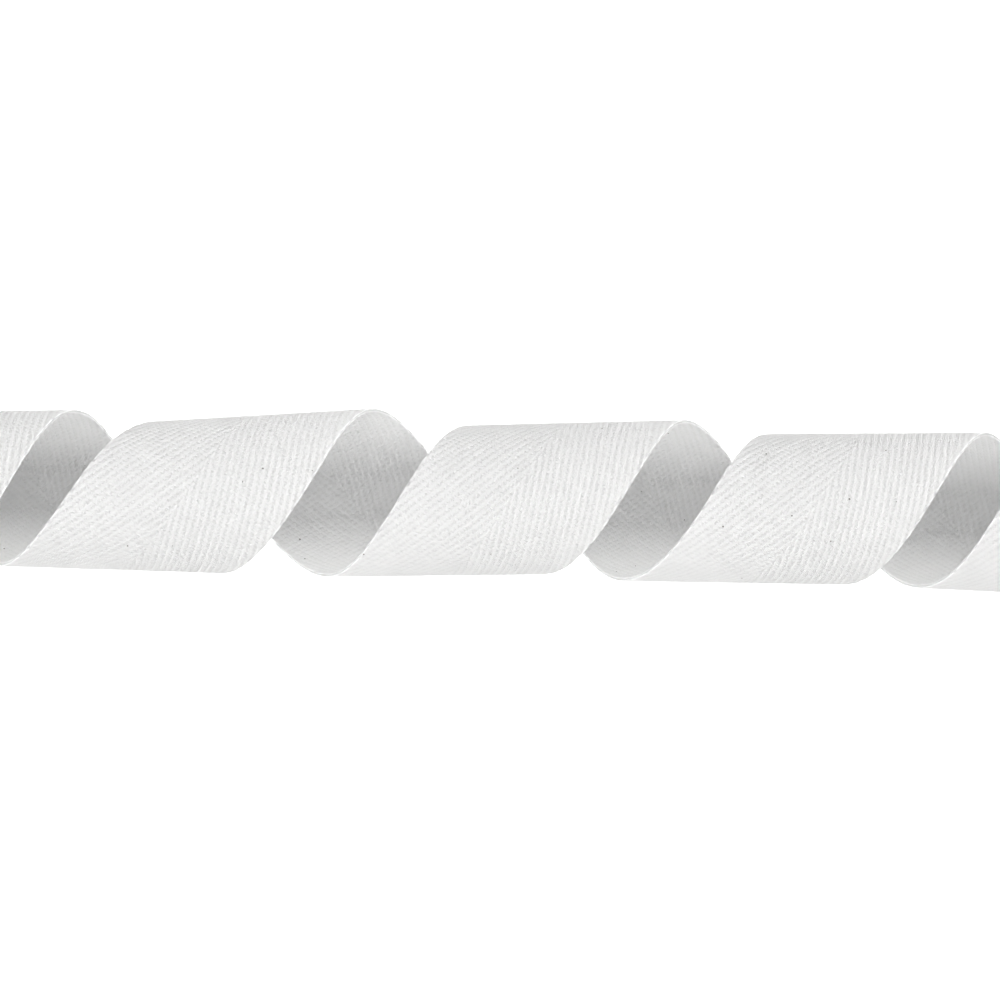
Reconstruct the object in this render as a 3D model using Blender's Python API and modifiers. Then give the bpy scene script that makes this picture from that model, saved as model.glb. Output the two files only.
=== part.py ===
"""A length of herringbone twill tape that lies in five loose spiral turns.

The tape is one flat strip of cloth. It is gridded flat, coiled point by point along a left-handed
spiral whose axis is X, and given its thickness. The turns are as uneven as in the photograph: the
table below says how far each edge of the tape leaves an even coil at every quarter turn. The floor
presses a small flat spot into the underside of each turn, on z = 0.

Turns are counted along the tape. A whole number is the top of a turn, and the quarters after it are
the far side (+Y), the underside and the near side (-Y).
"""

from math import cos, floor, pi, sin

import bmesh
import bpy

# The tape, in metres
TAPE_WIDTH = 0.038
TAPE_THICKNESS = 0.001

# The coil, in metres
PITCH = 0.0598
AXIS_HEIGHT = 0.0154
MIDDLE_WALL_RADIUS = 0.0153

# The length that is coiled, in turns of the tape's middle line
FIRST_TURN = -0.5
LAST_TURN = 4.5

# The grid: steps along one turn, and steps across the tape
STEPS_PER_TURN = 44
STEPS_ACROSS = 6

# How the tape's two edges leave an even coil at each quarter turn, in millimetres: the shift of each
# edge along the axis, and how far each stands from the axis. Each is read by eye off the enlarged
# photograph. The turns that it doesn't show are even.
QUARTER_TURN = 0.25
EVEN_EDGES = (0.0, 0.0, 15.8, 15.8)
EDGES = {
    # turn: left shift, right shift, left radius, right radius
    0.00: (-1.5, -0.6, 15.4, 15.4),
    0.25: (-2.0, -4.0, 14.3, 16.0),
    0.50: (-3.0, -6.8, 16.0, 16.0),
    0.75: (-4.0, -3.6, 15.9, 16.2),
    1.00: (-2.9, -2.1, 15.4, 15.4),
    1.25: (-2.6, -3.7, 14.1, 17.8),
    1.50: (-2.2, -1.3, 16.0, 16.0),
    1.75: (2.0, 0.8, 16.4, 14.8),
    2.00: (2.0, 0.6, 15.4, 15.4),
    2.25: (0.4, -0.7, 14.9, 17.1),
    2.50: (2.2, 0.8, 16.0, 16.0),
    2.75: (1.8, 1.6, 15.7, 15.3),
    3.00: (2.3, 1.1, 15.4, 15.4),
    3.25: (0.6, -0.1, 14.7, 16.1),
    3.50: (1.4, 0.0, 16.0, 16.0),
    3.75: (1.6, 1.0, 15.6, 16.7),
    4.00: (0.3, 0.2, 15.4, 15.4),
}

# Bleached cotton
COTTON_COLOUR = (0.87, 0.865, 0.85, 1)
COTTON_ROUGHNESS = 0.95

MILLIMETRE = 0.001
GIRTH = 2 * pi * MIDDLE_WALL_RADIUS
TURN_LENGTH = (GIRTH**2 + PITCH**2) ** 0.5

# What a cut square across the tape covers: along the axis, and round it in turns
WIDTH_ALONG_AXIS = TAPE_WIDTH * TURN_LENGTH / GIRTH
TURNS_ACROSS = TAPE_WIDTH * PITCH / TURN_LENGTH / GIRTH


def edges_at(turn):
    """The four edge sizes at that turn, in metres, on a Catmull-Rom curve through the readings."""
    quarter = floor(turn / QUARTER_TURN)
    t = turn / QUARTER_TURN - quarter
    weights = (
        (-t + 2 * t**2 - t**3) / 2,
        (2 - 5 * t**2 + 3 * t**3) / 2,
        (t + 4 * t**2 - 3 * t**3) / 2,
        (t**3 - t**2) / 2,
    )
    readings = [EDGES.get((quarter + step) * QUARTER_TURN, EVEN_EDGES) for step in (-1, 0, 1, 2)]
    return [MILLIMETRE * sum(w * value for w, value in zip(weights, column)) for column in zip(*readings)]


def coiled(centre_turn, share):
    """The outer face's point on the cut square across the tape at centre_turn.

    The share of the width is counted from the tape's left edge.
    """
    turn = centre_turn - (share - 0.5) * TURNS_ACROSS
    left_shift, right_shift, left_radius, right_radius = edges_at(turn)
    shift = left_shift + share * (right_shift - left_shift)
    radius = left_radius + share * (right_radius - left_radius)
    angle = 2 * pi * turn
    x = PITCH * turn + (share - 0.5) * WIDTH_ALONG_AXIS + shift
    y = radius * sin(angle)
    z = AXIS_HEIGHT + radius * cos(angle)
    return x, y, max(z, 0.0)


def clear_scene():
    for obj in list(bpy.data.objects):
        bpy.data.objects.remove(obj)


def cotton_material():
    material = bpy.data.materials.new("bleached_cotton")
    material.use_nodes = True
    shader = material.node_tree.nodes["Principled BSDF"]
    shader.inputs["Base Color"].default_value = COTTON_COLOUR
    shader.inputs["Roughness"].default_value = COTTON_ROUGHNESS
    shader.inputs["Metallic"].default_value = 0
    return material


def coiled_tape():
    """The outer face: a flat grid, one unit square, whose every point is moved to its place on the coil."""
    steps_along = round((LAST_TURN - FIRST_TURN) * STEPS_PER_TURN)
    cloth = bmesh.new()
    bmesh.ops.create_grid(cloth, x_segments=steps_along, y_segments=STEPS_ACROSS, size=0.5)
    for vert in cloth.verts:
        centre_turn = FIRST_TURN + (vert.co.x + 0.5) * (LAST_TURN - FIRST_TURN)
        vert.co = coiled(centre_turn, 0.5 - vert.co.y)
    centre_on_origin(cloth)
    mesh = bpy.data.meshes.new("twill_tape")
    cloth.to_mesh(mesh)
    cloth.free()
    return mesh


def centre_on_origin(cloth):
    """Puts the middle of the coil's length and width over the origin. The underside is on z = 0 already."""
    for axis in (0, 1):
        places = [vert.co[axis] for vert in cloth.verts]
        middle = (min(places) + max(places)) / 2
        for vert in cloth.verts:
            vert.co[axis] -= middle


def main():
    clear_scene()
    parts = bpy.data.collections.new("twill_tape_coil")
    bpy.context.scene.collection.children.link(parts)
    mesh = coiled_tape()
    mesh.shade_smooth()
    mesh.materials.append(cotton_material())
    tape = bpy.data.objects.new("twill_tape", mesh)
    parts.objects.link(tape)
    thickness = tape.modifiers.new("cloth thickness", "SOLIDIFY")
    thickness.thickness = TAPE_THICKNESS
    thickness.offset = -1
    thickness.use_even_offset = True


main()
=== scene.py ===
"""A herringbone twill tape, woven flat and then laid on its loose coil.

Every piece is made flat, as on the loom: X runs along the tape, Y across it from the right edge to the
left one, and Z is the height above the tape's outer face. Geometry Nodes weave the pieces there and
then carry each of their points to its place on the coil, which follows the CAD solid's outer face.
"""

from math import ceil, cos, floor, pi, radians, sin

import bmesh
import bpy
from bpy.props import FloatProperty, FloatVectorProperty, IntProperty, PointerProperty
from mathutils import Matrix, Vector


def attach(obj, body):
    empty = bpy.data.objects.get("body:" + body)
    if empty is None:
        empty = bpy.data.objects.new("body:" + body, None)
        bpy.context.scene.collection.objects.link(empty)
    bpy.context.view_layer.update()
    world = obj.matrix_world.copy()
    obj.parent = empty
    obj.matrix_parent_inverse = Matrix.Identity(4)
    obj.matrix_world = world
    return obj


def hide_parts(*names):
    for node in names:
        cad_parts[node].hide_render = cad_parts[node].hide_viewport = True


bl_info = {
    "name": "Coiled twill tape",
    "version": (1, 0, 0),
    "blender": (4, 5, 0),
    "location": "View3D > Sidebar > Twill tape",
    "description": "Weaves a herringbone twill tape, lays it on its coil and sets it on a pale stage",
    "category": "Object",
}

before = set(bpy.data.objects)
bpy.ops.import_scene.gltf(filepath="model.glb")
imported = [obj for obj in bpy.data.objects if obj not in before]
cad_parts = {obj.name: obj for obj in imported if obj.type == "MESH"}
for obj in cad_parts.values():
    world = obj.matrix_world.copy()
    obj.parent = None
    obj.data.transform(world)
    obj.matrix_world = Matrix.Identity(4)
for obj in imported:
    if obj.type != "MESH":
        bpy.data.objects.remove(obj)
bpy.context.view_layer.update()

NODE = "twill_tape"
BODY = "root"

# The coil, as the CAD solid has it, in metres and turns
TAPE_WIDTH = 0.038
PITCH = 0.0598
AXIS_HEIGHT = 0.0154
MIDDLE_WALL_RADIUS = 0.0153
FIRST_TURN = -0.5
LAST_TURN = 4.5

# How the tape's two edges leave an even coil at each quarter turn, in millimetres: the shift of each
# edge along the axis, and how far each stands from the axis. They are read off the enlarged
# photograph, apart from what it hides: the radii at the tops and the undersides, and the left edge
# before turn 1, are chosen. The turns that it doesn't show are even.
QUARTER_TURN = 0.25
EVEN_EDGES = (0.0, 0.0, 15.8, 15.8)
EDGES = {
    # turn: left shift, right shift, left radius, right radius
    0.00: (-1.5, -0.6, 15.4, 15.4),
    0.25: (-2.0, -4.0, 14.3, 16.0),
    0.50: (-3.0, -6.8, 16.0, 16.0),
    0.75: (-4.0, -3.6, 15.9, 16.2),
    1.00: (-2.9, -2.1, 15.4, 15.4),
    1.25: (-2.6, -3.7, 14.1, 17.8),
    1.50: (-2.2, -1.3, 16.0, 16.0),
    1.75: (2.0, 0.8, 16.4, 14.8),
    2.00: (2.0, 0.6, 15.4, 15.4),
    2.25: (0.4, -0.7, 14.9, 17.1),
    2.50: (2.2, 0.8, 16.0, 16.0),
    2.75: (1.8, 1.6, 15.7, 15.3),
    3.00: (2.3, 1.1, 15.4, 15.4),
    3.25: (0.6, -0.1, 14.7, 16.1),
    3.50: (1.4, 0.0, 16.0, 16.0),
    3.75: (1.6, 1.0, 15.6, 16.7),
    4.00: (0.3, 0.2, 15.4, 15.4),
}

MILLIMETRE = 0.001
GIRTH = 2 * pi * MIDDLE_WALL_RADIUS
TURN_LENGTH = (GIRTH**2 + PITCH**2) ** 0.5
WIDTH_ALONG_AXIS = TAPE_WIDTH * TURN_LENGTH / GIRTH
TURNS_ACROSS = TAPE_WIDTH * PITCH / TURN_LENGTH / GIRTH

# The uneven turns are a little longer than even ones
TAPE_PER_TURN = 0.1154
TAPE_LENGTH = (LAST_TURN - FIRST_TURN) * TAPE_PER_TURN

# The coil form, on which the flat pieces are laid: steps round a turn and across the tape, and how far
# it reaches past the tape's ends and edges
FORM_STEPS_PER_TURN = 240
FORM_STEPS_ACROSS = 32
FORM_END_MARGIN_TURNS = 0.025
FORM_EDGE_MARGIN = 0.04
UV_NAME = "tape_uv"

FORM_NAME = "coil form"
NORMAL_NAME = "outward"
NORMAL_STEP = 0.002

# How far the yarns wander from their even places, and how often across a metre
UNEVENNESS = 0.0004
WANDER_SCALE = 350.0

# The weave, in picks, ends and shares. Each warp end floats over two picks in every four.
TWILL_REPEAT = 4.0
CHEVRON_BREAK_PICKS = 2.0
INNER_FACE_PICKS = 2.0
FLOAT_PICKS = 2.3
FLOAT_ENDS = 1.4
FLOAT_CREST = (0.7, 0.7)
FLOAT_LEAST_SCALE = (0.97, 0.97, 0.95)
FLOAT_MOST_SCALE = (1.03, 1.03, 1.05)
FLOAT_END_MARGIN_PICKS = 1.1
CROSSING_PICKS = 1.08
CROSSING_ENDS = 2.4
CROSSING_CREST = (0.9, 0.9)
CROSSING_LEAST_SCALE = (0.99, 0.97, 0.9)
CROSSING_MOST_SCALE = (1.03, 1.03, 1.1)
CROSSING_RISE_SHARE = 0.4
CROSSING_EDGE_MARGIN_ENDS = 0.4
CROSSING_PAST_MIDDLE_ENDS = 0.6
SUNK_SHARE = 0.3
CLOTH_STEPS_ALONG = 601
CLOTH_STEPS_ACROSS = 25

# The selvedge's swell at each turn of the weft, and the share of its radius that the weave leaves bare
SWELL = 0.14
SWELL_MIDDLE = 0.88
SELVEDGE_BARE_SHARE = 0.4
SELVEDGE_POINTS_PER_PICK = 4
SELVEDGE_SIDES = 8

# The cut yarns: their shortest length as a share of the longest, how far they lean, and their point
TIP_SHORTEST = 0.25
TIP_LEAN = 0.35
TIP_POINT_SHARE = 0.45
TIP_SIDES = 6

# The cotton. Scales count how often a pattern changes across a metre.
TONE_SCALE = 1300.0
TONE_RANGE = (0.98, 1.013)
FIBRE_SCALE = (1500.0, 6000.0, 1.0)
FIBRE_BUMP = 0.25
FIBRE_DEPTH = 0.00004
COTTON_ROUGHNESS = 0.95
COTTON_SPECULAR = 0.2
COTTON_SHEEN = 0.1
COTTON_SHEEN_ROUGHNESS = 0.6

# The painted shade in the pits and grooves between the ribs: their sizes, as shares of a rib's width, and
# how much each darkens the yarn's colour
PIT_NEAR = 0.1
PIT_FAR = 0.36
PIT_SHADE_SHARE = 0.65
PIT_PICK_SHARE = 0.85
GROOVE_NEAR = 0.05
GROOVE_FAR = 0.33
GROOVE_SHADE_SHARE = 0.35
# How strong the painted shade in the pits and grooves is, from patch to patch
PIT_SHADE_PATCH_SCALE = 420.0
PIT_SHADE_PATCH_RANGE = (0.35, 1.45)

# The seed flecks: one cell in twelve has a fleck, whose radius is counted in cells
FLECK_SCALE = 210.0
FLECK_RARITY = 0.92
FLECK_LEAST_RADIUS = 0.018
FLECK_RADIUS_SPREAD = 0.02
FLECK_STRENGTH = 0.75

# The stage, in metres and in the sensor's millimetres
SENSOR = 36.0
COIL_TOP = 0.031
PHOTO_MIDDLE = (-0.00062, -0.00055)
FLOOR_SIZE = 12.0
FLOOR_DROP = 0.0002
FLOOR_COLOUR = (0.7, 0.7, 0.7, 1)
FLOOR_ROUGHNESS = 0.9
FLOOR_SPECULAR = 0.1
WHITE = (1, 1, 1, 1)
KEY_PLACE = (0.0, 0.0, 1.3)
KEY_SIZE = 1.6
NEAR_PLACE = (0.0, -1.2, 0.6)
FAR_PLACE = (0.0, 1.2, 0.6)
SIDE_SIZE = 1.4


# Where the coil lies

def edges_at(turn):
    """The four edge sizes at that turn, in metres, on a Catmull-Rom curve through the readings."""
    quarter = floor(turn / QUARTER_TURN)
    t = turn / QUARTER_TURN - quarter
    weights = (
        (-t + 2 * t**2 - t**3) / 2,
        (2 - 5 * t**2 + 3 * t**3) / 2,
        (t + 4 * t**2 - 3 * t**3) / 2,
        (t**3 - t**2) / 2,
    )
    readings = [EDGES.get((quarter + step) * QUARTER_TURN, EVEN_EDGES) for step in (-1, 0, 1, 2)]
    return [MILLIMETRE * sum(w * value for w, value in zip(weights, column)) for column in zip(*readings)]


def coiled(centre_turn, share):
    """The outer face's point on the cut square across the tape at centre_turn.

    The share of the width is counted from the tape's left edge.
    """
    turn = centre_turn - (share - 0.5) * TURNS_ACROSS
    left_shift, right_shift, left_radius, right_radius = edges_at(turn)
    shift = left_shift + share * (right_shift - left_shift)
    radius = left_radius + share * (right_radius - left_radius)
    angle = 2 * pi * turn
    x = PITCH * turn + (share - 0.5) * WIDTH_ALONG_AXIS + shift
    y = radius * sin(angle)
    z = AXIS_HEIGHT + radius * cos(angle)
    return Vector((x, y, max(z, 0.0)))


def outward(centre_turn, share):
    """The outer face's unit normal there."""
    along = coiled(centre_turn + NORMAL_STEP, share) - coiled(centre_turn - NORMAL_STEP, share)
    across = coiled(centre_turn, share - NORMAL_STEP) - coiled(centre_turn, share + NORMAL_STEP)
    return along.cross(across).normalized()


def coil_middle():
    """How far the coil's middle is from the place where its turns and its axis are counted from."""
    steps = range(int((LAST_TURN - FIRST_TURN) * FORM_STEPS_PER_TURN) + 1)
    turns = [FIRST_TURN + step / FORM_STEPS_PER_TURN for step in steps]
    points = [coiled(turn, share) for turn in turns for share in (0.0, 1.0)]
    middle_x, middle_y = [
        (min(point[axis] for point in points) + max(point[axis] for point in points)) / 2 for axis in (0, 1)
    ]
    return Vector((middle_x, middle_y, 0))


MIDDLE = coil_middle()


def coil_form():
    """A fine copy of the coil's outer face, whose UV map holds each point's place on the flat tape."""
    first = FIRST_TURN - FORM_END_MARGIN_TURNS
    turns = LAST_TURN - FIRST_TURN + 2 * FORM_END_MARGIN_TURNS
    cloth = bmesh.new()
    steps_along = round(turns * FORM_STEPS_PER_TURN)
    bmesh.ops.create_grid(cloth, x_segments=steps_along, y_segments=FORM_STEPS_ACROSS, size=0.5)
    uv_layer = cloth.loops.layers.uv.new(UV_NAME)
    places = {}
    for vert in cloth.verts:
        centre_turn = first + (vert.co.x + 0.5) * turns
        share = 0.5 - vert.co.y * (1 + 2 * FORM_EDGE_MARGIN)
        places[vert.index] = (centre_turn, share)
    for face in cloth.faces:
        for loop in face.loops:
            centre_turn, share = places[loop.vert.index]
            loop[uv_layer].uv = ((centre_turn - FIRST_TURN) * TAPE_PER_TURN, (0.5 - share) * TAPE_WIDTH)
    for vert in cloth.verts:
        vert.co = coiled(*places[vert.index]) - MIDDLE
    mesh = bpy.data.meshes.new(FORM_NAME)
    cloth.to_mesh(mesh)
    cloth.free()
    normals = mesh.attributes.new(NORMAL_NAME, "FLOAT_VECTOR", "POINT")
    for index, place in places.items():
        normals.data[index].vector = outward(*place)
    return mesh


# Sizes and colours that a user may change

class TapeSizes(bpy.types.PropertyGroup):
    """The woven tape's own sizes."""

    pick: FloatProperty(
        name="Pick spacing", description="From one weft yarn to the next, along the tape",
        default=0.00096, min=0.0005, max=0.002, precision=5, subtype="DISTANCE", unit="LENGTH",
    )
    ends_per_half: IntProperty(
        name="Ends in each half", description="Warp yarns from the chevron's point to a selvedge",
        default=55, min=8, max=80,
    )
    thickness: FloatProperty(
        name="Thickness", description="Of the tape, from crest to crest",
        default=0.0007, min=0.0003, max=0.002, precision=5, subtype="DISTANCE", unit="LENGTH",
    )
    float_height: FloatProperty(
        name="Float height", description="How far a warp float stands out of the cloth",
        default=0.00008, min=0.00002, max=0.0005, precision=5, subtype="DISTANCE", unit="LENGTH",
    )
    selvedge_radius: FloatProperty(
        name="Selvedge radius", description="Of the round edge that the turning weft makes",
        default=0.00014, min=0.0001, max=0.001, precision=5, subtype="DISTANCE", unit="LENGTH",
    )
    fray: FloatProperty(
        name="Fray", description="The longest yarn tip at a cut end",
        default=0.0009, min=0.0, max=0.003, precision=5, subtype="DISTANCE", unit="LENGTH",
    )


class CottonLook(bpy.types.PropertyGroup):
    """The cotton's colour and finish, with the painted shade of its pits and its edges."""

    colour: FloatVectorProperty(
        name="Cotton", description="Bleached cotton", default=(0.97, 0.97, 0.968), size=3,
        min=0.0, max=1.0, subtype="COLOR",
    )
    # Painted shade: a darker colour for the yarn in the pits and for the cloth between the yarns, where
    # shade falls
    groove_shade: FloatVectorProperty(
        name="Groove", description="Yarn in the pits between the ribs", default=(0.93, 0.93, 0.928), size=3,
        min=0.0, max=1.0, subtype="COLOR",
    )
    # Painted shade: the edge colour is darker than the cotton, to hold back the light that the selvedges and
    # cut yarns catch from the floor and the sides
    edge: FloatVectorProperty(
        name="Edge", description="The selvedges and the cut yarns", default=(0.75, 0.75, 0.748), size=3,
        min=0.0, max=1.0, subtype="COLOR",
    )
    fleck: FloatVectorProperty(
        name="Seed fleck", description="Specks of cotton seed", default=(0.16, 0.13, 0.10), size=3,
        min=0.0, max=1.0, subtype="COLOR",
    )
    yarn_translucency: FloatProperty(
        name="Yarn translucency", description="The share of the light that a yarn lets through", default=0.9,
        min=0.0, max=1.0, subtype="FACTOR",
    )
    edge_translucency: FloatProperty(
        name="Edge translucency",
        description="The share of the light that the selvedges and cut ends let through",
        default=0.8, min=0.0, max=1.0, subtype="FACTOR",
    )
    cloth_translucency: FloatProperty(
        name="Cloth translucency",
        description="The share of the light that the cloth under the floats lets through",
        default=1.0, min=0.0, max=1.0, subtype="FACTOR",
    )


class StageLook(bpy.types.PropertyGroup):
    """The camera, the lights and the floor."""

    camera_height: FloatProperty(
        name="Camera height", description="Above the floor", default=0.75, min=0.3, max=3.0,
        subtype="DISTANCE", unit="LENGTH",
    )
    view_width: FloatProperty(
        name="View width", description="What the picture spans at the top of the coil", default=0.19685,
        min=0.05, max=1.0, precision=4, subtype="DISTANCE", unit="LENGTH",
    )
    roll: FloatProperty(
        name="Camera roll", description="How far the coil's axis falls to the right in the picture",
        default=radians(1.46), min=-pi, max=pi, subtype="ANGLE", unit="ROTATION",
    )
    key_power: FloatProperty(
        name="Key light", description="Power of the soft light overhead", default=31.0,
        min=0.0, max=100.0, unit="POWER",
    )
    near_power: FloatProperty(
        name="Near light", description="Power of the low soft light on the near side", default=9.5,
        min=0.0, max=100.0, unit="POWER",
    )
    far_power: FloatProperty(
        name="Far light", description="Power of the low soft light on the far side", default=5.2,
        min=0.0, max=100.0, unit="POWER",
    )
    sky: FloatProperty(
        name="Sky", description="Strength of the light from all round", default=1.45, min=0.0, max=3.0,
    )
    floor_glow: FloatProperty(
        name="Floor glow", description="Light from the lit floor itself", default=0.5, min=0.0, max=3.0,
    )


# Node building

class Graph:
    """Adds nodes to a node tree and joins them."""

    def __init__(self, tree):
        self.tree = tree

    def node(self, kind, values=None, **settings):
        """A node with those settings, whose inputs are joined to sockets or set to values."""
        made = self.tree.nodes.new(kind)
        for name, value in settings.items():
            setattr(made, name, value)
        for key, value in (values or {}).items():
            self.feed(made.inputs[key], value)
        return made

    def feed(self, socket, value):
        if isinstance(value, bpy.types.NodeSocket):
            self.tree.links.new(value, socket)
        else:
            socket.default_value = value

    def maths(self, operation, *values):
        made = self.node("ShaderNodeMath", operation=operation)
        for socket, value in zip(made.inputs, values):
            self.feed(socket, value)
        return made.outputs[0]

    def vector(self, x, y, z):
        return self.node("ShaderNodeCombineXYZ", {0: x, 1: y, 2: z}).outputs[0]

    def split(self, vector):
        return self.node("ShaderNodeSeparateXYZ", {0: vector}).outputs


def geometry_tree(name, inputs):
    """A Geometry Nodes tree with one geometry output, its named inputs, and their sockets by name."""
    tree = bpy.data.node_groups.new(name, "GeometryNodeTree")
    for socket_name, kind, default in inputs:
        socket = tree.interface.new_socket(socket_name, in_out="INPUT", socket_type=kind)
        if default is not None:
            socket.default_value = default
    tree.interface.new_socket("Geometry", in_out="OUTPUT", socket_type="NodeSocketGeometry")
    graph = Graph(tree)
    given = graph.node("NodeGroupInput").outputs
    return graph, {socket.name: socket for socket in given if socket.name}


def finish_tree(graph, geometry, material):
    """Realizes the instances, sets the material and ends the tree."""
    real = graph.node("GeometryNodeRealizeInstances", {"Geometry": geometry})
    smooth = graph.node("GeometryNodeSetShadeSmooth", {"Geometry": real.outputs[0]})
    finished = graph.node("GeometryNodeSetMaterial", {"Geometry": smooth.outputs[0], "Material": material})
    graph.node("NodeGroupOutput", {"Geometry": finished.outputs[0]})
    return graph.tree


def lay_on_coil_tree():
    """Carries flat geometry on to the coil form, and keeps its flat place as a UV map."""
    graph, given = geometry_tree(
        "Lay on coil",
        [
            ("Flat", "NodeSocketGeometry", None),
            ("Form", "NodeSocketGeometry", None),
            ("Unevenness", "NodeSocketFloat", UNEVENNESS),
        ],
    )
    position = graph.node("GeometryNodeInputPosition").outputs[0]
    x, y, z = graph.split(position)
    place = graph.vector(x, y, 0.0)
    waves = graph.node("ShaderNodeTexNoise", {"Vector": place, "Scale": WANDER_SCALE, "Detail": 2.0})
    wander = graph.node("ShaderNodeVectorMath", {
        0: waves.outputs["Color"], 1: (0.5, 0.5, 0.5),
    }, operation="SUBTRACT")
    wander = graph.node("ShaderNodeVectorMath", {
        0: wander.outputs[0], "Scale": given["Unevenness"],
    }, operation="SCALE")
    wandered = graph.node("ShaderNodeVectorMath", {
        0: place, 1: wander.outputs[0],
    }, operation="ADD").outputs[0]
    mapped = graph.node(
        "GeometryNodeStoreNamedAttribute",
        {"Geometry": given["Flat"], "Name": UV_NAME, "Value": place},
        data_type="FLOAT2", domain="CORNER",
    )
    form_uv = graph.node("GeometryNodeInputNamedAttribute", {"Name": UV_NAME}, data_type="FLOAT_VECTOR")
    form_normal = graph.node("GeometryNodeInputNamedAttribute", {
        "Name": NORMAL_NAME,
    }, data_type="FLOAT_VECTOR")
    point, normal = [
        graph.node(
            "GeometryNodeSampleUVSurface",
            {
                "Mesh": given["Form"], "Value": value,
                "Source UV Map": form_uv.outputs[0], "Sample UV": wandered,
            },
            data_type="FLOAT_VECTOR",
        ).outputs["Value"]
        for value in (position, form_normal.outputs[0])
    ]
    height = graph.node("ShaderNodeVectorMath", {0: normal, "Scale": z}, operation="SCALE").outputs[0]
    coiled_place = graph.node("ShaderNodeVectorMath", {0: point, 1: height}, operation="ADD").outputs[0]
    laid = graph.node("GeometryNodeSetPosition", {"Geometry": mapped.outputs[0], "Position": coiled_place})
    graph.node("NodeGroupOutput", {"Geometry": laid.outputs[0]})
    return graph.tree


def laid_flat(graph, given, flat):
    """Adds the group that lays that flat geometry on the coil."""
    group = graph.node("GeometryNodeGroup", {}, node_tree=bpy.data.node_groups["Lay on coil"])
    graph.feed(group.inputs["Flat"], flat)
    graph.feed(group.inputs["Form"], given["Form"])
    return group.outputs[0]


def cloth_tree():
    """The cloth: a thin closed slab, which the weft and the sunken warp make."""
    graph, given = geometry_tree("Cloth", [
        ("Form", "NodeSocketGeometry", None),
        ("Length", "NodeSocketFloat", TAPE_LENGTH),
        ("Width", "NodeSocketFloat", TAPE_WIDTH),
        ("Thickness", "NodeSocketFloat", 0.0005),
        ("Level", "NodeSocketFloat", -0.0001),
        ("Steps along", "NodeSocketInt", CLOTH_STEPS_ALONG),
        ("Steps across", "NodeSocketInt", CLOTH_STEPS_ACROSS),
        ("Material", "NodeSocketMaterial", None),
    ])
    slab = graph.node("GeometryNodeMeshCube", {
        "Size": graph.vector(given["Length"], given["Width"], given["Thickness"]),
        "Vertices X": given["Steps along"], "Vertices Y": given["Steps across"], "Vertices Z": 2,
    })
    middle = graph.maths("SUBTRACT", given["Level"], graph.maths("MULTIPLY", given["Thickness"], 0.5))
    half = graph.maths("MULTIPLY", given["Length"], 0.5)
    placed = graph.node("GeometryNodeTransform", {
        "Geometry": slab.outputs["Mesh"], "Translation": graph.vector(half, 0.0, middle),
    })
    return finish_tree(graph, laid_flat(graph, given, placed.outputs[0]), given["Material"])


def float_tree():
    """The warp floats of one half of one face: each end stands out over two picks in every four."""
    graph, given = geometry_tree("Warp floats", [
        ("Form", "NodeSocketGeometry", None),
        ("Float", "NodeSocketObject", None),
        ("Ends", "NodeSocketInt", 54),
        ("Repeats", "NodeSocketInt", 170),
        ("Pick", "NodeSocketFloat", 0.00096),
        ("End spacing", "NodeSocketFloat", 0.00034),
        ("Half", "NodeSocketFloat", 1.0),
        ("Phase in picks", "NodeSocketFloat", 0.0),
        ("Level", "NodeSocketFloat", 0.0),
        ("Turn over", "NodeSocketFloat", 0.0),
        ("Length", "NodeSocketFloat", TAPE_LENGTH),
        ("Seed", "NodeSocketInt", 1),
        ("Material", "NodeSocketMaterial", None),
    ])
    count = graph.maths("MULTIPLY", given["Ends"], given["Repeats"])
    index = graph.node("GeometryNodeInputIndex").outputs[0]
    end = graph.maths("FLOORED_MODULO", index, given["Ends"])
    repeat = graph.maths("FLOOR", graph.maths("DIVIDE", index, given["Ends"]))
    picks = graph.maths("SUBTRACT", graph.maths("MULTIPLY", repeat, TWILL_REPEAT), end)
    along = graph.maths("MULTIPLY", graph.maths("ADD", picks, given["Phase in picks"]), given["Pick"])
    across = graph.maths("MULTIPLY", graph.maths("ADD", end, 0.5), given["End spacing"])
    across = graph.maths("MULTIPLY", across, given["Half"])
    points = graph.node("GeometryNodePoints", {
        "Count": count, "Position": graph.vector(along, across, given["Level"]),
    })
    margin = graph.maths("MULTIPLY", given["Pick"], FLOAT_END_MARGIN_PICKS)
    here = graph.split(graph.node("GeometryNodeInputPosition").outputs[0])[0]
    before = graph.maths("LESS_THAN", here, margin)
    after = graph.maths("GREATER_THAN", here, graph.maths("SUBTRACT", given["Length"], margin))
    kept = graph.node("GeometryNodeDeleteGeometry", {
        "Geometry": points.outputs[0], "Selection": graph.maths("ADD", before, after),
    }, domain="POINT")
    form = graph.node("GeometryNodeObjectInfo", {"Object": given["Float"]})
    uneven = graph.node("FunctionNodeRandomValue", {
        "Min": FLOAT_LEAST_SCALE, "Max": FLOAT_MOST_SCALE, "Seed": given["Seed"],
    }, data_type="FLOAT_VECTOR")
    woven = graph.node("GeometryNodeInstanceOnPoints", {
        "Points": kept.outputs[0], "Instance": form.outputs["Geometry"],
        "Rotation": graph.vector(given["Turn over"], 0.0, 0.0), "Scale": uneven.outputs["Value"],
    })
    real = graph.node("GeometryNodeRealizeInstances", {"Geometry": woven.outputs[0]})
    return finish_tree(graph, laid_flat(graph, given, real.outputs[0]), given["Material"])


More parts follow.
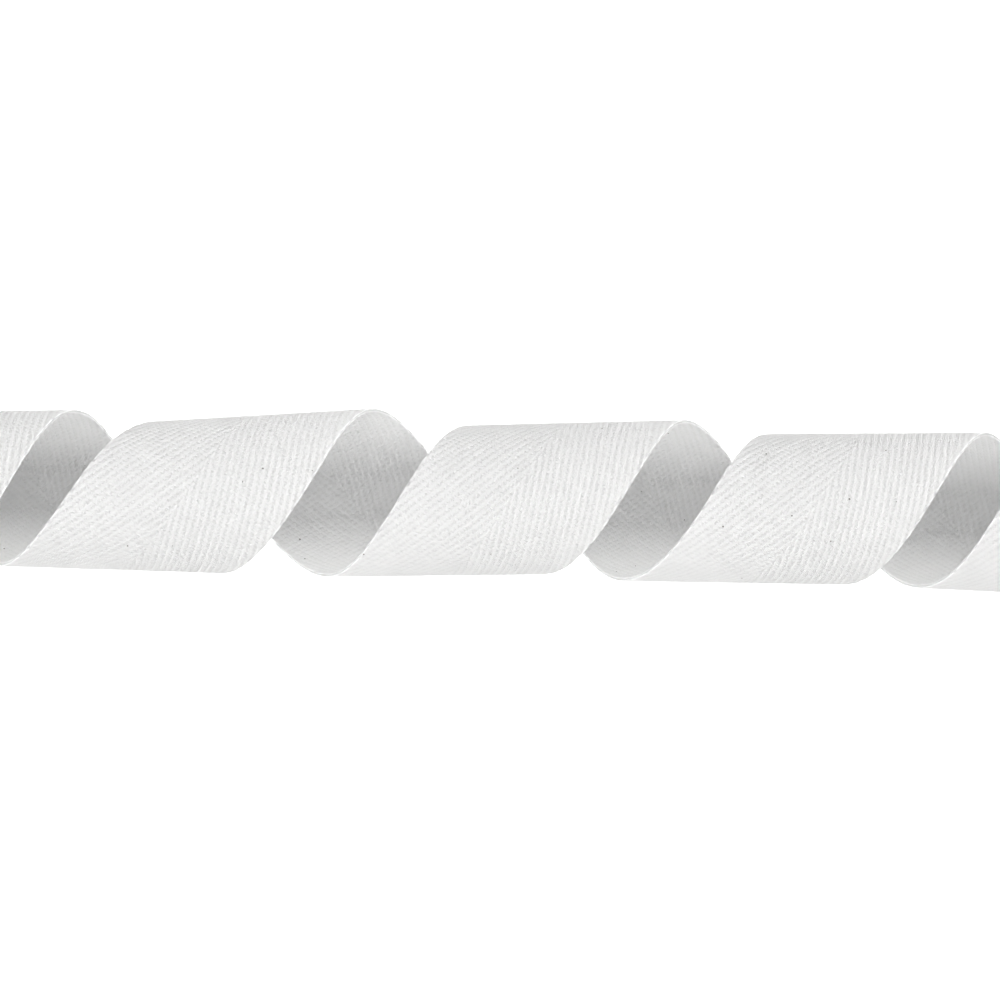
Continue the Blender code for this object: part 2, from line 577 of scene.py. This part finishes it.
def weft_tree():
    """The weft of one half of one face, where it crosses over two ends between two ribs."""
    graph, given = geometry_tree("Weft crossings", [
        ("Form", "NodeSocketGeometry", None),
        ("Crossing", "NodeSocketObject", None),
        ("Ends", "NodeSocketInt", 54),
        ("Ribs", "NodeSocketInt", 14),
        ("Picks", "NodeSocketInt", 600),
        ("Pick", "NodeSocketFloat", 0.00096),
        ("End spacing", "NodeSocketFloat", 0.00034),
        ("Half", "NodeSocketFloat", 1.0),
        ("Phase in picks", "NodeSocketFloat", 0.0),
        ("Level", "NodeSocketFloat", 0.0),
        ("Turn over", "NodeSocketFloat", 0.0),
        ("Seed", "NodeSocketInt", 1),
        ("Material", "NodeSocketMaterial", None),
    ])
    index = graph.node("GeometryNodeInputIndex").outputs[0]
    rib = graph.maths("SUBTRACT", graph.maths("FLOORED_MODULO", index, given["Ribs"]), 1.0)
    pick = graph.maths("FLOOR", graph.maths("DIVIDE", index, given["Ribs"]))
    turned = graph.maths("ADD", graph.maths("SUBTRACT", 1.5, pick), given["Phase in picks"])
    end = graph.maths("FLOORED_MODULO", turned, TWILL_REPEAT)
    end = graph.maths("MULTIPLY_ADD", rib, TWILL_REPEAT, end)
    along = graph.maths("MULTIPLY", graph.maths("ADD", pick, 0.5), given["Pick"])
    across = graph.maths("MULTIPLY", graph.maths("ADD", end, 0.5), given["End spacing"])
    points = graph.node("GeometryNodePoints", {
        "Count": graph.maths("MULTIPLY", given["Ribs"], given["Picks"]),
        "Position": graph.vector(along, graph.maths("MULTIPLY", across, given["Half"]), given["Level"]),
    })
    place = graph.split(graph.node("GeometryNodeInputPosition").outputs[0])[1]
    place = graph.maths("DIVIDE", graph.maths("MULTIPLY", place, given["Half"]), given["End spacing"])
    last_place = graph.maths("SUBTRACT", given["Ends"], CROSSING_EDGE_MARGIN_ENDS)
    past_edge = graph.maths("GREATER_THAN", place, last_place)
    past_middle = graph.maths("LESS_THAN", place, -CROSSING_PAST_MIDDLE_ENDS)
    kept = graph.node("GeometryNodeDeleteGeometry", {
        "Geometry": points.outputs[0], "Selection": graph.maths("ADD", past_edge, past_middle),
    }, domain="POINT")
    form = graph.node("GeometryNodeObjectInfo", {"Object": given["Crossing"]})
    uneven = graph.node("FunctionNodeRandomValue", {
        "Min": CROSSING_LEAST_SCALE, "Max": CROSSING_MOST_SCALE, "Seed": given["Seed"],
    }, data_type="FLOAT_VECTOR")
    woven = graph.node("GeometryNodeInstanceOnPoints", {
        "Points": kept.outputs[0], "Instance": form.outputs["Geometry"],
        "Rotation": graph.vector(given["Turn over"], 0.0, 0.0), "Scale": uneven.outputs["Value"],
    })
    real = graph.node("GeometryNodeRealizeInstances", {"Geometry": woven.outputs[0]})
    return finish_tree(graph, laid_flat(graph, given, real.outputs[0]), given["Material"])


def selvedge_tree():
    """One selvedge: the outer ends, packed into a round edge, with a swell at each turn of the weft."""
    graph, given = geometry_tree("Selvedge", [
        ("Form", "NodeSocketGeometry", None),
        ("Length", "NodeSocketFloat", TAPE_LENGTH),
        ("From middle", "NodeSocketFloat", 0.0185),
        ("Radius", "NodeSocketFloat", 0.0003),
        ("Level", "NodeSocketFloat", -0.00035),
        ("Pick", "NodeSocketFloat", 0.00096),
        ("Points per pick", "NodeSocketInt", SELVEDGE_POINTS_PER_PICK),
        ("Sides", "NodeSocketInt", SELVEDGE_SIDES),
        ("Material", "NodeSocketMaterial", None),
    ])
    line = graph.node("GeometryNodeCurvePrimitiveLine", {
        "Start": graph.vector(0.0, given["From middle"], given["Level"]),
        "End": graph.vector(given["Length"], given["From middle"], given["Level"]),
    })
    picks = graph.maths("DIVIDE", given["Length"], given["Pick"])
    stations = graph.node("GeometryNodeResampleCurve", {
        "Curve": line.outputs[0], "Count": graph.maths("MULTIPLY", picks, given["Points per pick"]),
    })
    here = graph.split(graph.node("GeometryNodeInputPosition").outputs[0])[0]
    wave = graph.maths("SINE", graph.maths("MULTIPLY", graph.maths("DIVIDE", here, given["Pick"]), 2 * pi))
    swell = graph.maths("MULTIPLY_ADD", wave, SWELL, SWELL_MIDDLE)
    swelling = graph.node("GeometryNodeSetCurveRadius", {"Curve": stations.outputs[0], "Radius": swell})
    section = graph.node("GeometryNodeCurvePrimitiveCircle", {
        "Resolution": given["Sides"], "Radius": given["Radius"],
    })
    rope = graph.node("GeometryNodeCurveToMesh", {
        "Curve": swelling.outputs[0], "Profile Curve": section.outputs[0], "Fill Caps": True,
    })
    return finish_tree(graph, laid_flat(graph, given, rope.outputs[0]), given["Material"])


def tips_tree():
    """The cut yarns that stand a little way out of one end of the tape."""
    graph, given = geometry_tree("Yarn tips", [
        ("Form", "NodeSocketGeometry", None),
        ("Tip", "NodeSocketObject", None),
        ("Ends", "NodeSocketInt", 110),
        ("Width", "NodeSocketFloat", TAPE_WIDTH),
        ("Place", "NodeSocketFloat", 0.0),
        ("Level", "NodeSocketFloat", -0.00035),
        ("Turn", "NodeSocketFloat", 0.0),
        ("Fray", "NodeSocketFloat", 0.0009),
        ("Seed", "NodeSocketInt", 1),
        ("Material", "NodeSocketMaterial", None),
    ])
    index = graph.node("GeometryNodeInputIndex").outputs[0]
    share = graph.maths("DIVIDE", graph.maths("ADD", index, 0.5), given["Ends"])
    across = graph.maths("MULTIPLY", graph.maths("SUBTRACT", share, 0.5), given["Width"])
    points = graph.node("GeometryNodePoints", {
        "Count": given["Ends"], "Position": graph.vector(given["Place"], across, given["Level"]),
    })
    form = graph.node("GeometryNodeObjectInfo", {"Object": given["Tip"]})
    length = graph.node("FunctionNodeRandomValue", {
        2: TIP_SHORTEST, 3: 1.0, "Seed": given["Seed"],
    }, data_type="FLOAT")
    lean = graph.node("FunctionNodeRandomValue", {
        2: -TIP_LEAN, 3: TIP_LEAN, "Seed": graph.maths("ADD", given["Seed"], 1),
    }, data_type="FLOAT")
    tufts = graph.node("GeometryNodeInstanceOnPoints", {
        "Points": points.outputs[0], "Instance": form.outputs["Geometry"],
        "Rotation": graph.vector(0.0, 0.0, graph.maths("ADD", given["Turn"], lean.outputs[1])),
        "Scale": graph.vector(graph.maths("MULTIPLY", length.outputs[1], given["Fray"]), 1.0, 1.0),
    })
    real = graph.node("GeometryNodeRealizeInstances", {"Geometry": tufts.outputs[0]})
    return finish_tree(graph, laid_flat(graph, given, real.outputs[0]), given["Material"])


# Small forms that the trees repeat

def cushion_form(name, foot, crest, height, sunk):
    """A low cushion of yarn, sunk a little in the cloth.

    The foot is its length and width, and the crest is the share of each that its flat top has.
    """
    yarn = bmesh.new()
    for shares, z in (((1, 1), -sunk), (crest, height)):
        for x_side in (-0.5, 0.5):
            for y_side in (-0.5, 0.5):
                yarn.verts.new((x_side * shares[0] * foot[0], y_side * shares[1] * foot[1], z))
    bmesh.ops.convex_hull(yarn, input=yarn.verts)
    bmesh.ops.recalc_face_normals(yarn, faces=yarn.faces)
    return helper_object(name, yarn)


def tip_form(radius):
    """One yarn tip, 1 long along X, that narrows towards its cut."""
    yarn = bmesh.new()
    point = radius * TIP_POINT_SHARE
    bmesh.ops.create_cone(
        yarn, cap_ends=True, segments=TIP_SIDES, radius1=radius, radius2=point, depth=1,
    )
    for vert in yarn.verts:
        vert.co = Vector((vert.co.z + 0.5, vert.co.y, vert.co.x))
    bmesh.ops.recalc_face_normals(yarn, faces=yarn.faces)
    return helper_object("tip form", yarn)


def helper_object(name, built):
    """An object that a tree reads and that is removed afterwards."""
    mesh = bpy.data.meshes.new(name)
    built.to_mesh(mesh)
    built.free()
    helper = bpy.data.objects.new(name, mesh)
    bpy.context.scene.collection.objects.link(helper)
    return helper


def remove_object(helper):
    mesh = helper.data
    bpy.data.objects.remove(helper)
    bpy.data.meshes.remove(mesh)


def end_spacing(sizes):
    """From one warp yarn to the next, across the tape."""
    return (TAPE_WIDTH / 2 - SELVEDGE_BARE_SHARE * sizes.selvedge_radius) / sizes.ends_per_half


def form_mesh():
    """The coil form, made once."""
    return bpy.data.meshes.get(FORM_NAME) or coil_form()


def woven_piece(name, tree, values):
    """Runs that tree on the coil form and keeps the result as a plain mesh."""
    source = bpy.data.objects.new("source", form_mesh())
    bpy.context.scene.collection.objects.link(source)
    modifier = source.modifiers.new("weave", "NODES")
    modifier.node_group = tree
    for socket in tree.interface.items_tree:
        if socket.in_out == "INPUT" and socket.name in values:
            modifier[socket.identifier] = values[socket.name]
    evaluated = source.evaluated_get(bpy.context.evaluated_depsgraph_get())
    mesh = bpy.data.meshes.new_from_object(evaluated)
    mesh.name = name
    bpy.data.objects.remove(source)
    piece = bpy.data.objects.new(name, mesh)
    bpy.context.scene.collection.objects.link(piece)
    if not mesh.polygons:
        raise RuntimeError(f"{name} came out empty")
    return piece


def place_piece(piece):
    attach(piece, BODY)


# Materials

def cotton_material(name, colour, translucency, look, ribs=None):
    """Cotton with soft unevenness, a fibre bump and rare seed flecks, all on the flat tape's own map.

    The ribs are the tape's sizes and the face's phase in picks; with them the pits and grooves between the
    ribs get painted shade, a little darker colour.
    """
    material = bpy.data.materials.get(name)
    if material:
        return material
    material = bpy.data.materials.new(name)
    material.use_nodes = True
    graph = Graph(material.node_tree)
    shader = material.node_tree.nodes["Principled BSDF"]
    flat = graph.node("ShaderNodeUVMap", uv_map=UV_NAME).outputs[0]
    cloud = graph.node("ShaderNodeTexNoise", {"Vector": flat, "Scale": TONE_SCALE, "Detail": 2.0})
    tone = graph.node("ShaderNodeMapRange", {
        "Value": cloud.outputs["Fac"], "From Min": 0.25, "From Max": 0.75,
        "To Min": TONE_RANGE[0], "To Max": TONE_RANGE[1],
    })
    fibre = graph.node("ShaderNodeTexNoise", {
        "Vector": graph.node("ShaderNodeMapping", {"Vector": flat, "Scale": FIBRE_SCALE}).outputs[0],
        "Scale": 1.0, "Detail": 2.0,
    })
    # Painted shade: the colour is mixed towards the darker groove colour in the pits and grooves between the
    # ribs
    pits = painted_pit_shade(graph, flat, *ribs) if ribs else 0.0
    base = graph.node("ShaderNodeMix", {
        "Factor": pits, "A": (*colour, 1.0), "B": (*look.groove_shade, 1.0),
    }, data_type="RGBA").outputs["Result"]
    toned = graph.node("ShaderNodeVectorMath", {0: base, "Scale": tone.outputs[0]}, operation="SCALE")
    flecks = seed_flecks(graph, flat)
    colour = graph.node("ShaderNodeMix", {
        "Factor": flecks, "A": toned.outputs[0], "B": (*look.fleck, 1.0),
    }, data_type="RGBA")
    graph.feed(shader.inputs["Base Color"], colour.outputs["Result"])
    bump = graph.node("ShaderNodeBump", {
        "Height": fibre.outputs["Fac"], "Strength": FIBRE_BUMP, "Distance": FIBRE_DEPTH,
    })
    graph.feed(shader.inputs["Normal"], bump.outputs[0])
    shader.inputs["Roughness"].default_value = COTTON_ROUGHNESS
    shader.inputs["Specular IOR Level"].default_value = COTTON_SPECULAR
    shader.inputs["Sheen Weight"].default_value = COTTON_SHEEN
    shader.inputs["Sheen Roughness"].default_value = COTTON_SHEEN_ROUGHNESS
    through = graph.node("ShaderNodeBsdfTranslucent", {
        "Color": colour.outputs["Result"], "Normal": bump.outputs[0],
    })
    thin = graph.node("ShaderNodeMixShader", {0: translucency, 1: shader.outputs[0], 2: through.outputs[0]})
    graph.feed(material.node_tree.nodes["Material Output"].inputs["Surface"], thin.outputs[0])
    return material


def painted_pit_shade(graph, flat, sizes, phase):
    """Painted shade: 1 in the pits between two ribs, one at each pick, less along the grooves, and 0 on the
    ribs.
    """
    along, across, _ = graph.split(flat)
    picks = graph.maths("DIVIDE", along, sizes.pick)
    ends = graph.maths("DIVIDE", graph.maths("ABSOLUTE", across), end_spacing(sizes))
    right_half = graph.maths("LESS_THAN", across, 0.0)
    offset = graph.maths("ADD", graph.maths("MULTIPLY", right_half, CHEVRON_BREAK_PICKS), phase + 0.5)
    twill = graph.maths("SUBTRACT", graph.maths("ADD", picks, ends), offset)
    half_repeat = TWILL_REPEAT / 2
    rib_width = TWILL_REPEAT / (sizes.pick**-2 + end_spacing(sizes)**-2) ** 0.5
    from_groove = graph.maths("PINGPONG", graph.maths("ADD", twill, half_repeat), half_repeat)
    from_groove = graph.maths("MULTIPLY", from_groove, rib_width / TWILL_REPEAT)
    from_pit = graph.maths("MULTIPLY", graph.maths("PINGPONG", picks, 0.5), sizes.pick * PIT_PICK_SHARE)
    apart = graph.node("ShaderNodeVectorMath", {
        0: graph.vector(from_groove, from_pit, 0.0),
    }, operation="LENGTH")
    pit_shade = fading(graph, apart.outputs["Value"], PIT_NEAR * rib_width, PIT_FAR * rib_width)
    groove_shade = fading(graph, from_groove, GROOVE_NEAR * rib_width, GROOVE_FAR * rib_width)
    # How deep the painted shade is: the pits' and the grooves' shares together, varied from patch to patch
    depth = graph.maths("MULTIPLY_ADD", pit_shade, PIT_SHADE_SHARE, graph.maths("MULTIPLY", groove_shade, GROOVE_SHADE_SHARE))
    shade_patches = graph.node("ShaderNodeTexNoise", {"Vector": flat, "Scale": PIT_SHADE_PATCH_SCALE, "Detail": 2.0})
    uneven = graph.node("ShaderNodeMapRange", {
        "Value": shade_patches.outputs["Fac"], "From Min": 0.3, "From Max": 0.7,
        "To Min": PIT_SHADE_PATCH_RANGE[0], "To Max": PIT_SHADE_PATCH_RANGE[1],
    })
    return graph.maths("MULTIPLY", depth, uneven.outputs[0])


def fading(graph, distance, near, far):
    """1 up to the near distance, falling smoothly to 0 at the far one."""
    return graph.node("ShaderNodeMapRange", {
        "Value": distance, "From Min": near, "From Max": far, "To Min": 1.0, "To Max": 0.0,
    }, interpolation_type="SMOOTHSTEP").outputs[0]


def seed_flecks(graph, flat):
    """1 inside a rare small speck, else 0."""
    cells = graph.node("ShaderNodeTexVoronoi", {
        "Vector": flat, "Scale": FLECK_SCALE, "Randomness": 1.0,
    }, voronoi_dimensions="2D")
    chance, spread, _ = graph.split(cells.outputs["Color"])
    rare = graph.maths("GREATER_THAN", chance, FLECK_RARITY)
    size = graph.maths("MULTIPLY_ADD", spread, FLECK_RADIUS_SPREAD, FLECK_LEAST_RADIUS)
    inside = graph.maths("LESS_THAN", cells.outputs["Distance"], size)
    return graph.maths("MULTIPLY", graph.maths("MULTIPLY", inside, rare), FLECK_STRENGTH)


# Operators

class TWILL_OT_cloth(bpy.types.Operator):
    """Makes the cloth that the floats stand on"""

    bl_idname = "twill.cloth"
    bl_label = "Cloth"

    def execute(self, context):
        sizes, look = context.scene.twill_sizes, context.scene.twill_look
        edge = 2 * sizes.selvedge_radius
        cloth = woven_piece("twill_cloth", cloth_tree(), {
            "Length": TAPE_LENGTH,
            "Width": TAPE_WIDTH - edge,
            "Thickness": sizes.thickness - 2 * sizes.float_height,
            "Level": -sizes.float_height,
            "Steps along": CLOTH_STEPS_ALONG,
            "Steps across": CLOTH_STEPS_ACROSS,
            # The cloth, seen only in the gaps between the yarns, takes the darker groove colour as painted
            # shade
            "Material": cotton_material("cotton ground in painted shade", look.groove_shade, look.cloth_translucency, look),
        })
        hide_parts(NODE)
        place_piece(cloth)
        return {"FINISHED"}


class TWILL_OT_warp_floats(bpy.types.Operator):
    """Weaves the warp floats of both faces, which make the herringbone's ribs"""

    bl_idname = "twill.warp_floats"
    bl_label = "Warp floats"

    def execute(self, context):
        sizes, look = context.scene.twill_sizes, context.scene.twill_look
        spacing = end_spacing(sizes)
        rise = sizes.float_height
        sunk = SUNK_SHARE * rise
        form = cushion_form(
            "float form", (FLOAT_PICKS * sizes.pick, FLOAT_ENDS * spacing), FLOAT_CREST, rise, sunk,
        )
        crossing = cushion_form(
            "crossing form", (CROSSING_PICKS * sizes.pick, CROSSING_ENDS * spacing), CROSSING_CREST,
            CROSSING_RISE_SHARE * rise, sunk,
        )
        tree, weft = float_tree(), weft_tree()
        faces = (
            ("outer", 0.0, -rise, 0.0, 1),
            ("inner", INNER_FACE_PICKS, rise - sizes.thickness, pi, 5),
        )
        for face, phase, level, turn_over, seed in faces:
            material = cotton_material(
                f"cotton yarn, {face} face", look.colour, look.yarn_translucency, look, (sizes, phase),
            )
            for half, side, break_picks in (("left", 1.0, 0.0), ("right", -1.0, CHEVRON_BREAK_PICKS)):
                weave = {
                    "Ends": sizes.ends_per_half,
                    "Pick": sizes.pick,
                    "End spacing": spacing,
                    "Half": side,
                    "Phase in picks": phase + break_picks,
                    "Level": level,
                    "Turn over": turn_over,
                    "Material": material,
                }
                place_piece(woven_piece(f"{face}_{half}_warp", tree, weave | {
                    "Float": form,
                    "Repeats": int((TAPE_LENGTH / sizes.pick + sizes.ends_per_half) / TWILL_REPEAT) + 1,
                    "Length": TAPE_LENGTH,
                    "Seed": seed + int(side),
                }))
                place_piece(woven_piece(f"{face}_{half}_weft", weft, weave | {
                    "Crossing": crossing,
                    "Ribs": ceil(sizes.ends_per_half / TWILL_REPEAT) + 1,
                    "Picks": int(TAPE_LENGTH / sizes.pick),
                    "Seed": seed + 10 + int(side),
                }))
        remove_object(form)
        remove_object(crossing)
        return {"FINISHED"}


class TWILL_OT_selvedges(bpy.types.Operator):
    """Makes the two selvedges"""

    bl_idname = "twill.selvedges"
    bl_label = "Selvedges"

    def execute(self, context):
        sizes, look = context.scene.twill_sizes, context.scene.twill_look
        tree = selvedge_tree()
        for name, side in (("left_selvedge", 1), ("right_selvedge", -1)):
            piece = woven_piece(name, tree, {
                "Length": TAPE_LENGTH,
                "From middle": side * (TAPE_WIDTH / 2 - sizes.selvedge_radius),
                "Radius": sizes.selvedge_radius,
                "Level": -sizes.thickness / 2,
                "Pick": sizes.pick,
                "Points per pick": SELVEDGE_POINTS_PER_PICK,
                "Sides": SELVEDGE_SIDES,
                # The edge material's darker colour is painted shade
                "Material": cotton_material("cotton edge in painted shade", look.edge, look.edge_translucency, look),
            })
            place_piece(piece)
        return {"FINISHED"}


class TWILL_OT_cut_ends(bpy.types.Operator):
    """Lets the cut yarns stand a little way out of both ends"""

    bl_idname = "twill.cut_ends"
    bl_label = "Cut ends"

    def execute(self, context):
        sizes, look = context.scene.twill_sizes, context.scene.twill_look
        tip = tip_form(sizes.thickness / 4)
        tree = tips_tree()
        ends = (("first_cut_end", 0.0, pi, 11), ("last_cut_end", TAPE_LENGTH, 0.0, 23))
        for name, place, turn, seed in ends:
            piece = woven_piece(name, tree, {
                "Tip": tip,
                "Ends": 2 * sizes.ends_per_half + 2,
                "Width": TAPE_WIDTH - sizes.selvedge_radius,
                "Place": place,
                "Level": -sizes.thickness / 2,
                "Turn": turn,
                "Fray": sizes.fray,
                "Seed": seed,
                # The edge material's darker colour is painted shade
                "Material": cotton_material("cotton edge in painted shade", look.edge, look.edge_translucency, look),
            })
            place_piece(piece)
        remove_object(tip)
        return {"FINISHED"}


class TWILL_OT_declare(bpy.types.Operator):
    """Does nothing: it leaves the pieces as they are"""

    bl_idname = "twill.declare"
    bl_label = "Declare the sheet"

    def execute(self, context):
        return {"FINISHED"}


class TWILL_OT_stage(bpy.types.Operator):
    """Sets up the floor, the lights and the camera"""

    bl_idname = "twill.stage"
    bl_label = "Stage"

    def execute(self, context):
        look = context.scene.twill_stage
        make_floor(look)
        make_sky(context, look)
        make_light("key light", KEY_PLACE, KEY_SIZE, look.key_power)
        make_light("near light", NEAR_PLACE, SIDE_SIZE, look.near_power)
        make_light("far light", FAR_PLACE, SIDE_SIZE, look.far_power)
        make_camera(context, look)
        return {"FINISHED"}


# Stage

def make_floor(look):
    material = bpy.data.materials.new("white floor")
    material.use_nodes = True
    shader = material.node_tree.nodes["Principled BSDF"]
    shader.inputs["Base Color"].default_value = FLOOR_COLOUR
    shader.inputs["Roughness"].default_value = FLOOR_ROUGHNESS
    shader.inputs["Specular IOR Level"].default_value = FLOOR_SPECULAR
    shader.inputs["Emission Color"].default_value = WHITE
    shader.inputs["Emission Strength"].default_value = look.floor_glow
    built = bmesh.new()
    bmesh.ops.create_grid(built, x_segments=1, y_segments=1, size=FLOOR_SIZE / 2)
    mesh = bpy.data.meshes.new("floor")
    built.to_mesh(mesh)
    built.free()
    mesh.transform(Matrix.Translation((0, 0, -FLOOR_DROP)))
    mesh.materials.append(material)
    floor = bpy.data.objects.new("floor", mesh)
    bpy.context.scene.collection.objects.link(floor)


def make_sky(context, look):
    world = bpy.data.worlds.new("soft white room")
    world.use_nodes = True
    background = world.node_tree.nodes["Background"]
    background.inputs["Color"].default_value = WHITE
    background.inputs["Strength"].default_value = look.sky
    context.scene.world = world


def make_light(name, place, size, power):
    """A soft round light that shines on the middle of the coil."""
    light = bpy.data.lights.new(name, "AREA")
    light.shape = "DISK"
    light.size = size
    light.energy = power
    lamp = bpy.data.objects.new(name, light)
    lamp.location = place
    lamp.rotation_euler = (-lamp.location).to_track_quat("-Z", "Y").to_euler()
    bpy.context.scene.collection.objects.link(lamp)


def make_camera(context, look):
    camera = bpy.data.cameras.new("camera")
    camera.sensor_width = SENSOR
    camera.lens = SENSOR * (look.camera_height - COIL_TOP) / look.view_width
    eye = bpy.data.objects.new("camera", camera)
    eye.location = (*PHOTO_MIDDLE, look.camera_height)
    eye.rotation_euler = (0, 0, look.roll)
    context.scene.collection.objects.link(eye)
    context.scene.camera = eye
    context.scene.view_settings.view_transform = "Standard"


# Panel and start

class TWILL_PT_panel(bpy.types.Panel):
    """The tape's sizes, looks and steps"""

    bl_idname = "TWILL_PT_panel"
    bl_label = "Twill tape"
    bl_space_type = "VIEW_3D"
    bl_region_type = "UI"
    bl_category = "Twill tape"

    def draw(self, context):
        for group in (context.scene.twill_sizes, context.scene.twill_look, context.scene.twill_stage):
            box = self.layout.box()
            for name in group.__annotations__:
                box.prop(group, name)
        for step in STEPS:
            self.layout.operator(step.bl_idname)


STEPS = (
    TWILL_OT_cloth, TWILL_OT_warp_floats, TWILL_OT_selvedges, TWILL_OT_cut_ends,
    TWILL_OT_declare, TWILL_OT_stage,
)
CLASSES = (TapeSizes, CottonLook, StageLook, *STEPS, TWILL_PT_panel)


def register():
    for cls in CLASSES:
        bpy.utils.register_class(cls)
    bpy.types.Scene.twill_sizes = PointerProperty(type=TapeSizes)
    bpy.types.Scene.twill_look = PointerProperty(type=CottonLook)
    bpy.types.Scene.twill_stage = PointerProperty(type=StageLook)


def unregister():
    del bpy.types.Scene.twill_stage
    del bpy.types.Scene.twill_look
    del bpy.types.Scene.twill_sizes
    for cls in reversed(CLASSES):
        bpy.utils.unregister_class(cls)


def main():
    register()
    lay_on_coil_tree()
    bpy.ops.twill.cloth()
    bpy.ops.twill.warp_floats()
    bpy.ops.twill.selvedges()
    bpy.ops.twill.cut_ends()
    bpy.ops.twill.declare()
    bpy.ops.twill.stage()
    remove_form()


def remove_form():
    mesh = bpy.data.meshes.get(FORM_NAME)
    if mesh:
        bpy.data.meshes.remove(mesh)


if __name__ == "__main__":
    main()
